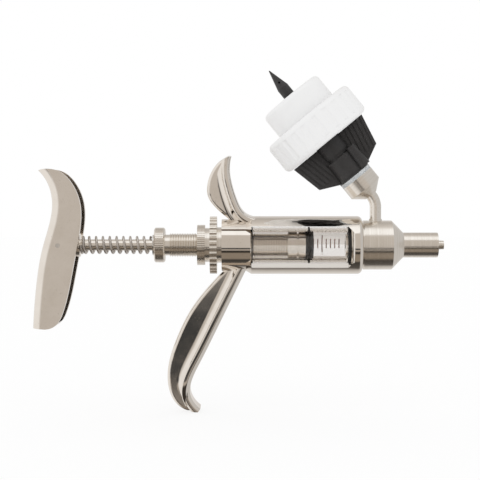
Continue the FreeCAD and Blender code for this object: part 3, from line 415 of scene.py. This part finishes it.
def cleanMesh(piece, distance, closeEnds=False):
    makeActive(piece)
    bpy.ops.object.mode_set(mode="EDIT")
    bpy.ops.mesh.select_all(action="SELECT")
    bpy.ops.mesh.remove_doubles(threshold=distance * mm)
    if closeEnds:
        bpy.ops.mesh.select_all(action="DESELECT")
        bpy.ops.mesh.select_non_manifold()
        bpy.ops.mesh.edge_face_add()
        bpy.ops.mesh.select_all(action="SELECT")
    bpy.ops.mesh.normals_make_consistent(inside=False)
    bpy.ops.object.mode_set(mode="OBJECT")


# hook castings: the hollow fillet between each hook's web and finger band, and the lower band's round edge
# in a section, across counts from the band's inner side towards the web, and up from the middle plane

hookCasting = {
    "rearEnd": -85.7, "surface": 11.9, "roll": 4.5, "bandDepth": 3.8, "halfWeb": 2.3, "inside": 1.5,
    "overlap": 0.5, "lap": 0.2, "backStep": 0.3, "pullIn": 0.3, "weld": 0.001, "smooth": 30,
    "stations": 96, "begin": {1: 0.21, -1: 0.0}, "end": 0.92, "fade": 0.16, "thinnest": 0.03, "sink": 0.9,
}
fillet = {"wallFoot": (0.05, 3.6), "wallAngle": 43, "steep": 0.9, "foot": 3.1, "gentle": 1.5, "steps": 10}
roundEdge = {
    "edge": 4.0, "crest": 6.2, "crestFlat": (-1.5, -0.45), "innerRound": 0.45, "skin": 0.02, "skirt": 0.4,
    "outerStep": 6, "innerStep": 10,
}
hookFronts = {  # the band's front side: millimetres behind the frame's rear end, and out from its surface
    1: ((-4.2, -0.5), (-1.0, 1.1), (1.6, 2.1), (3.8, 3.9), (6.5, 8.8), (8.5, 14.8), (9.8, 21.5), (9.1, 28.9)),
    -1: (
        (2.0, -1.8), (6.8, 8.0), (16.1, 27.1), (23.5, 42.0), (27.7, 51.3), (28.3, 57.0), (26.3, 61.5),
        (23.6, 64.2),
    ),
}


def smoothLine(points):
    # a cubic spline over the chord lengths, whose end slopes come from the nearest four points
    points = numpy.array(points, dtype=float)
    gaps = numpy.linalg.norm(numpy.diff(points, axis=0), axis=1)
    along = numpy.concatenate(([0], numpy.cumsum(gaps)))
    slopes = numpy.diff(points, axis=0) / gaps[:, None]
    matrix = numpy.eye(len(points))
    right = numpy.zeros_like(points)
    for end, nearest in ((0, slice(0, 4)), (-1, slice(-4, None))):
        near = along[nearest] - along[end]
        right[end] = numpy.polyfit(near, points[nearest], 3)[-2]
    for i in range(1, len(points) - 1):
        matrix[i, i - 1:i + 2] = 1 / gaps[i - 1], 2 / gaps[i - 1] + 2 / gaps[i], 1 / gaps[i]
        right[i] = 3 * (slopes[i - 1] / gaps[i - 1] + slopes[i] / gaps[i])
    turns = numpy.linalg.solve(matrix, right)

    def at(share):
        place = share * along[-1]
        i = min(max(int(numpy.searchsorted(along, place)) - 1, 0), len(gaps) - 1)
        gap = gaps[i]
        part = (place - along[i]) / gap
        spot = (
            points[i] * (1 + 2 * part) * (1 - part) ** 2 + turns[i] * gap * part * (1 - part) ** 2
            + points[i + 1] * part ** 2 * (3 - 2 * part) + turns[i + 1] * gap * part ** 2 * (part - 1)
        )
        heading = (
            (points[i + 1] - points[i]) * 6 * part * (1 - part) / gap
            + turns[i] * (1 - part) * (1 - 3 * part) + turns[i + 1] * part * (3 * part - 2)
        )
        return spot, heading / numpy.linalg.norm(heading)

    return at, along / along[-1]


def filletSection():
    wall = Vector(fillet["wallFoot"])
    foot = Vector((fillet["foot"], hookCasting["halfWeb"]))
    lean = math.radians(fillet["wallAngle"])
    down = wall + fillet["steep"] * Vector((math.cos(lean), -math.sin(lean)))
    before = foot - Vector((fillet["gentle"], 0))
    section = []
    for step in range(fillet["steps"] + 1):
        part = step / fillet["steps"]
        rest = 1 - part
        section.append(
            wall * rest ** 3 + down * 3 * part * rest ** 2 + before * 3 * part ** 2 * rest + foot * part ** 3
        )
    return section + [Vector((foot.x, hookCasting["inside"]))]


def bandSection():
    outer, inner = roundEdge["crestFlat"]
    front = -hookCasting["bandDepth"] - roundEdge["skin"]
    edge = roundEdge["edge"]
    high = roundEdge["crest"] - edge
    section = [Vector((front, edge - roundEdge["skirt"]))]
    for degrees in range(180, 89, -roundEdge["outerStep"]):
        turn = math.radians(degrees)
        section.append(Vector((outer + (outer - front) * math.cos(turn), edge + high * math.sin(turn))))
    small = roundEdge["innerRound"]
    middle = roundEdge["crest"] - small
    for degrees in range(90, -1, -roundEdge["innerStep"]):
        turn = math.radians(degrees)
        section.append(Vector((inner + small * math.cos(turn), middle + small * math.sin(turn))))
    return section


def bandInnerSide(side):
    # the line along which the band meets the web
    rear = hookCasting["rearEnd"]
    surface = hookCasting["surface"]
    front, shares = smoothLine([(rear - back, side * (surface + out)) for back, out in hookFronts[side]])
    moved = []
    for share in shares:
        spot, heading = front(share)
        moved.append(spot - side * hookCasting["bandDepth"] * numpy.array((heading[1], -heading[0])))
    return smoothLine(moved)[0]


def hookSection(side):
    if side < 0:
        band = bandSection()
    else:
        band = [Vector((-hookCasting["overlap"], fillet["wallFoot"][1] - hookCasting["lap"]))]
    section = band + filletSection()
    section.append(Vector((band[0].x + hookCasting["backStep"], hookCasting["inside"])))
    section.append(section[0].copy())
    return section, len(band)


def makeHookCasting(side):
    inner = bandInnerSide(side)
    section, bandCorners = hookSection(side)
    begin = hookCasting["begin"][side]
    end = hookCasting["end"]
    deselectAll()
    bpy.ops.mesh.primitive_grid_add(
        x_subdivisions=hookCasting["stations"], y_subdivisions=len(section) - 1, size=1
    )
    piece = namePiece("upperHookCasting" if side > 0 else "lowerHookCasting", "framePlate")
    for vertex in piece.data.vertices:
        share = begin + (vertex.co.x + 0.5) * (end - begin)
        corner = round((vertex.co.y + 0.5) * (len(section) - 1))
        across, up = section[corner]
        fade = min(1.0, (end - share) / hookCasting["fade"])
        fade = max(hookCasting["thinnest"], fade * fade * (3 - 2 * fade))
        if corner < bandCorners or corner > len(section) - 3:  # the band's edge sinks into the tip
            up -= hookCasting["sink"] * (1 - fade)
            across += hookCasting["pullIn"] * (1 - fade)
        else:
            up = hookCasting["halfWeb"] + (up - hookCasting["halfWeb"]) * fade
            across *= fade
        spot, heading = inner(share)
        spot = spot - side * across * numpy.array((heading[1], -heading[0]))
        vertex.co = Vector((spot[0], up, spot[1])) * mm
    cleanMesh(piece, hookCasting["weld"], closeEnds=True)
    other = piece.modifiers.new("other face", "MIRROR")
    other.use_axis = (False, True, False)
    other.use_mirror_merge = False
    applyModifiers(piece)
    piece.rotation_euler.x = math.radians(hookCasting["roll"])
    applyPlace(piece)
    bpy.ops.object.shade_smooth_by_angle(angle=math.radians(hookCasting["smooth"]))
    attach(piece, "frame")


for side in (1, -1):
    makeHookCasting(side)
print("hook castings made")


# springs: each run of coils is turns and pitch; the return spring has one closed coil at the handle

springMesh = {"sides": 12, "steps": 36, "weld": 0.02, "smooth": 50}
springs = {
    "returnSpring": {
        "node": "return_spring", "body": "dose_carriage", "joint": "plunger_slide", "rear": -163.92,
        "wire": 0.56, "mean": 3.66, "coils": ((1, 1.15), (9.8, 3.15)), "fixedEnd": -131.1, "keep": 0.569,
    },
    "outletSpring": {
        "node": "outlet_spring", "body": "frame", "joint": "outlet_valve_lift", "rear": -22.27, "wire": 0.22,
        "mean": 1.6, "coils": ((3, 1.18),), "fixedEnd": -18.5, "keep": 0.69,
    },
    "inletSpring": {
        "node": "inlet_spring", "body": "frame", "joint": "inlet_valve_lift", "rear": -9.2, "wire": 0.2,
        "mean": 1.3, "coils": ((3, 0.67),), "fixedEnd": -9.4, "keep": 0.57, "onPort": True,
    },
}


def makeCoils(name, values, start, turns, pitch):
    deselectAll()
    bpy.ops.mesh.primitive_circle_add(
        vertices=springMesh["sides"], radius=values["wire"] * mm, location=(0, 0, values["mean"] * mm),
        rotation=(math.pi / 2, 0, 0),
    )
    run = namePiece(name, "springSteel")
    applyPlace(run)
    coil = run.modifiers.new("coil", "SCREW")
    coil.axis = "X"
    coil.angle = math.radians(360 * turns)
    coil.screw_offset = pitch * turns * mm
    coil.steps = coil.render_steps = round(springMesh["steps"] * turns)
    coil.use_merge_vertices = False
    applyModifiers(run)
    run.location = (start * mm, 0, 0)
    run.rotation_euler = (math.pi / 2, 0, 0)
    applyPlace(run)
    return run


def makeSpring(name, values):
    start = values["rear"]
    runs = []
    for turns, pitch in values["coils"]:
        runs.append(makeCoils(name, values, start, turns, pitch))
        start += turns * pitch
    spring = joinPieces(runs)
    cleanMesh(spring, springMesh["weld"], closeEnds=True)
    if values.get("onPort"):
        spring.rotation_euler = (0, -(math.pi / 2 + portLean), 0)
        spring.location = portBase
        applyPlace(spring)
    bpy.ops.object.shade_smooth_by_angle(angle=math.radians(springMesh["smooth"]))
    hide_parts(values["node"])
    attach(spring, values["body"])
    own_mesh(spring)


for name, values in springs.items():
    makeSpring(name, values)
print("springs made:", len(springs))


# piston ring: a round ring flattened where it presses on the bore

pistonRing = {"station": -59.15, "middle": 5.35, "section": 1.1, "reach": 6.4}


def makePistonRing():
    deselectAll()
    bpy.ops.mesh.primitive_torus_add(
        location=(pistonRing["station"] * mm, 0, 0), rotation=(0, math.pi / 2, 0), major_segments=96,
        minor_segments=32, major_radius=pistonRing["middle"] * mm, minor_radius=pistonRing["section"] * mm,
    )
    ring = namePiece("pistonRing", "blackRubber")
    applyPlace(ring)
    reach = pistonRing["reach"] * mm
    for vertex in ring.data.vertices:
        out = math.hypot(vertex.co.y, vertex.co.z)
        if out > reach:
            vertex.co.y *= reach / out
            vertex.co.z *= reach / out
    bpy.ops.object.shade_smooth()
    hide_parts("piston_o_ring")
    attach(ring, "plunger")


makePistonRing()
print("piston ring made")


# dose scale, printed on the outside of the glass at the far side

doseScale = {
    "zero": -44.7, "step": 1.982, "marks": 21, "perDigit": 4, "long": 5.0, "short": 2.7, "line": 0.5,
    "lineMiddle": 0.6, "lineParts": 14, "digit": 1.75, "digitMiddle": -5.7, "glass": 8.45, "gap": 0.02,
    "ink": 0.025, "behind": 9.5, "form": (-60, 100), "weld": 0.002,
}


def makeForm():
    middle, depth = doseScale["form"]
    deselectAll()
    bpy.ops.mesh.primitive_cylinder_add(
        vertices=360, radius=(doseScale["glass"] + doseScale["gap"]) * mm, depth=depth * mm,
        location=(middle * mm, 0, 0), rotation=(0, math.pi / 2, 0),
    )
    form = bpy.context.object
    applyPlace(form)
    return form


def wrapOnGlass(piece, form):
    applyPlace(piece)
    wrap = piece.modifiers.new("wrap", "SHRINKWRAP")
    wrap.wrap_method = "PROJECT"
    wrap.use_project_y = True
    wrap.use_positive_direction = True
    wrap.use_negative_direction = True
    wrap.target = form
    ink = piece.modifiers.new("ink", "SOLIDIFY")
    ink.thickness = doseScale["ink"] * mm
    ink.offset = 0
    applyModifiers(piece)
    return piece


def makeLine(station, reach, form):
    deselectAll()
    bpy.ops.mesh.primitive_grid_add(
        x_subdivisions=1, y_subdivisions=doseScale["lineParts"], size=1,
        location=(station * mm, doseScale["behind"] * mm, doseScale["lineMiddle"] * mm),
        rotation=(math.pi / 2, 0, 0),
    )
    line = namePiece("doseScale", "scaleInk")
    line.scale = (doseScale["line"] * mm, 2 * reach * mm, 1)
    return wrapOnGlass(line, form)


def makeDigit(station, number, form):
    deselectAll()
    bpy.ops.object.text_add(location=(0, 0, 0))
    digit = bpy.context.object
    digit.data.body = str(number)
    digit.data.size = doseScale["digit"] * mm
    digit.data.align_x = "CENTER"
    digit.data.align_y = "CENTER"
    digit.data.resolution_u = 4
    bpy.ops.object.convert(target="MESH")
    digit = namePiece("doseDigit", "scaleInk")
    digit.rotation_euler = (math.pi / 2, 0, math.pi)  # reads from outside the glass
    digit.location = (station * mm, doseScale["behind"] * mm, doseScale["digitMiddle"] * mm)
    return wrapOnGlass(digit, form)


def makeDoseScale():
    form = makeForm()
    prints = []
    for mark in range(doseScale["marks"]):
        station = doseScale["zero"] - mark * doseScale["step"]
        numbered = mark > 0 and mark % doseScale["perDigit"] == 0
        prints.append(makeLine(station, doseScale["long" if numbered else "short"], form))
        if numbered:
            prints.append(makeDigit(station, mark // doseScale["perDigit"], form))
    bpy.data.objects.remove(form)
    scale = joinPieces(prints)
    cleanMesh(scale, doseScale["weld"])
    scale.name = scale.data.name = "doseScale"
    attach(scale, "frame")


makeDoseScale()
print("dose scale made")


# studio: one world that shows the metal a dark camera side and bright top and back, and a white floor

studio = {
    "sky": 1.0, "edge": 0.94, "top": 1.25, "rearSide": 0.92, "needleSide": 0.62, "sideWarmth": 0.02,
    "rearFrom": (-0.36, -0.66), "needleFrom": (0.33, 0.50),
}
reflectedRoom = (  # degrees above the camera's side, brightness, warmth
    (-180, 0.75, 0.03), (-140, 0.72, 0.03), (-118, 0.50, 0.05), (-106, 0.10, 0.10), (-73, 0.05, 0.12),
    (-64, 0.24, 0.20), (-40, 0.24, 0.20), (-36, 0.20, 0.20), (-34, 0.035, 0.15), (-26, 0.035, 0.15),
    (-23, 0.44, 0.12), (-19, 0.44, 0.12), (-17.6, 0.05, 0.0), (-12.9, 0.05, 0.0), (-11.6, 0.56, 0.08),
    (48, 0.58, 0.08), (51, 1.14, 0.0), (80, 1.10, 0.0), (92, 0.72, 0.05), (112, 0.58, 0.06),
    (132, 0.48, 0.06), (145, 0.66, 0.04), (180, 0.75, 0.03),
)


def mixShaders(tree, place, share, first, second):
    node = addNode(tree, "ShaderNodeMixShader", place)
    for socket, value in zip(node.inputs, (share, first, second)):
        tree.links.new(value, socket)
    return node.outputs[0]


def seenStraight(tree, place):
    # one for the camera's rays that have only passed through glass, and zero for reflected ones
    across, up = place
    path = addNode(tree, "ShaderNodeLightPath", (across - 2, up))
    through = mathNode(
        tree, "COMPARE", (across - 1, up), path.outputs["Ray Depth"], path.outputs["Transmission Depth"]
    )
    through.node.inputs[2].default_value = 0.1
    return mathNode(tree, "MAXIMUM", place, path.outputs["Is Camera Ray"], through)


def makeWorld():
    world = bpy.data.worlds.new("studio")
    bpy.context.scene.world = world
    world.use_nodes = True
    world.cycles.sampling_method = "NONE"
    tree = world.node_tree
    tree.nodes.clear()
    direction = addNode(tree, "ShaderNodeTexCoord", (-6, 0))
    split = addNode(tree, "ShaderNodeSeparateXYZ", (-5, 0))
    tree.links.new(direction.outputs["Generated"], split.inputs[0])
    front = mathNode(tree, "MULTIPLY", (-4, -1), split.outputs["Y"], -1.0)
    angle = mathNode(tree, "ARCTAN2", (-3, 0), split.outputs["Z"], front)
    turn = remap(tree, (-2, 0), angle, -math.pi, math.pi)
    ramp = addNode(tree, "ShaderNodeValToRGB", (-1, 0))
    tree.links.new(turn, ramp.inputs[0])
    stops = ramp.color_ramp.elements
    while len(stops) > 1:
        stops.remove(stops[0])
    for index, (degrees, light, warmth) in enumerate(reflectedRoom):
        share = (degrees + 180) / 360
        stop = stops[0] if index == 0 else stops.new(share)
        stop.position = share
        level = light / studio["top"]
        stop.color = (level * (1 + warmth), level, level * (1 - warmth), 1)
    room = ramp.outputs["Color"]
    for index, side in enumerate(("needle", "rear")):
        share = remap(tree, (-2, -2 - index), split.outputs["X"], *studio[side + "From"])
        level = studio[side + "Side"] / studio["top"]
        tint = (level * (1 + studio["sideWarmth"]), level, level * (1 - studio["sideWarmth"]))
        room = mixColour(tree, (index, 0), share, room, tint)
    reflected = addNode(tree, "ShaderNodeBackground", (2, 0))
    reflected.inputs["Strength"].default_value = studio["top"]
    tree.links.new(room, reflected.inputs["Color"])
    height = remap(tree, (1, -2), split.outputs["Z"], -1.0, 1.0, studio["edge"], studio["sky"])
    lit = addNode(tree, "ShaderNodeBackground", (2, -1))
    tree.links.new(height, lit.inputs["Color"])
    seen = addNode(tree, "ShaderNodeBackground", (2, -2))
    seen.inputs["Color"].default_value = (1, 1, 1, 1)
    path = addNode(tree, "ShaderNodeLightPath", (2, 1))
    light = mixShaders(tree, (4, 0), path.outputs["Is Diffuse Ray"], reflected.outputs[0], lit.outputs[0])
    shown = mixShaders(tree, (5, 0), seenStraight(tree, (3, 3)), light, seen.outputs[0])
    output = addNode(tree, "ShaderNodeOutputWorld", (6, 0))
    tree.links.new(shown, output.inputs["Surface"])


floorLook = {"size": 6, "middle": -0.09, "drop": 0.0002, "paper": 0.98, "whiteShare": 0.8}


def makeFloor():
    deselectAll()
    bpy.ops.mesh.primitive_plane_add(
        size=floorLook["size"], location=(floorLook["middle"], 0, cadBox[0].z - floorLook["drop"])
    )
    floor = bpy.context.object
    floor.name = "floor"
    material = bpy.data.materials.new("floorWhite")
    material.use_nodes = True
    tree = material.node_tree
    tree.nodes.clear()
    paper = addNode(tree, "ShaderNodeBsdfDiffuse", (0, 0))
    paper.inputs["Color"].default_value = (floorLook["paper"], floorLook["paper"], floorLook["paper"], 1)
    white = addNode(tree, "ShaderNodeEmission", (0, -1))
    share = mathNode(tree, "MULTIPLY", (1, 1), seenStraight(tree, (0, 2)), floorLook["whiteShare"])
    blend = mixShaders(tree, (2, 0), share, paper.outputs[0], white.outputs[0])
    side = addNode(tree, "ShaderNodeNewGeometry", (2, 2))
    clear = addNode(tree, "ShaderNodeBsdfTransparent", (2, -1))  # seen from below, the floor is clear
    oneSided = mixShaders(tree, (3, 0), side.outputs["Backfacing"], blend, clear.outputs[0])
    output = addNode(tree, "ShaderNodeOutputMaterial", (4, 0))
    tree.links.new(oneSided, output.inputs["Surface"])
    floor.data.materials.append(material)
    floor.visible_glossy = False


cameraView = {
    "target": (-0.0909, 0, 0.0023), "distance": 0.570, "elevation": 1.7, "lens": 92.7, "sensor": 36,
}


def makeCamera():
    data = bpy.data.cameras.new("camera")
    data.sensor_width = cameraView["sensor"]
    data.lens = cameraView["lens"]
    camera = bpy.data.objects.new("camera", data)
    bpy.context.scene.collection.objects.link(camera)
    rise = math.radians(cameraView["elevation"])
    back = Vector((0, -math.cos(rise), math.sin(rise)))
    camera.location = Vector(cameraView["target"]) + back * cameraView["distance"]
    camera.rotation_euler = (math.pi / 2 - rise, 0, 0)
    bpy.context.scene.camera = camera


makeWorld()
makeFloor()
makeCamera()
bpy.context.scene.view_settings.view_transform = "Standard"
deselectAll()
print("studio made")
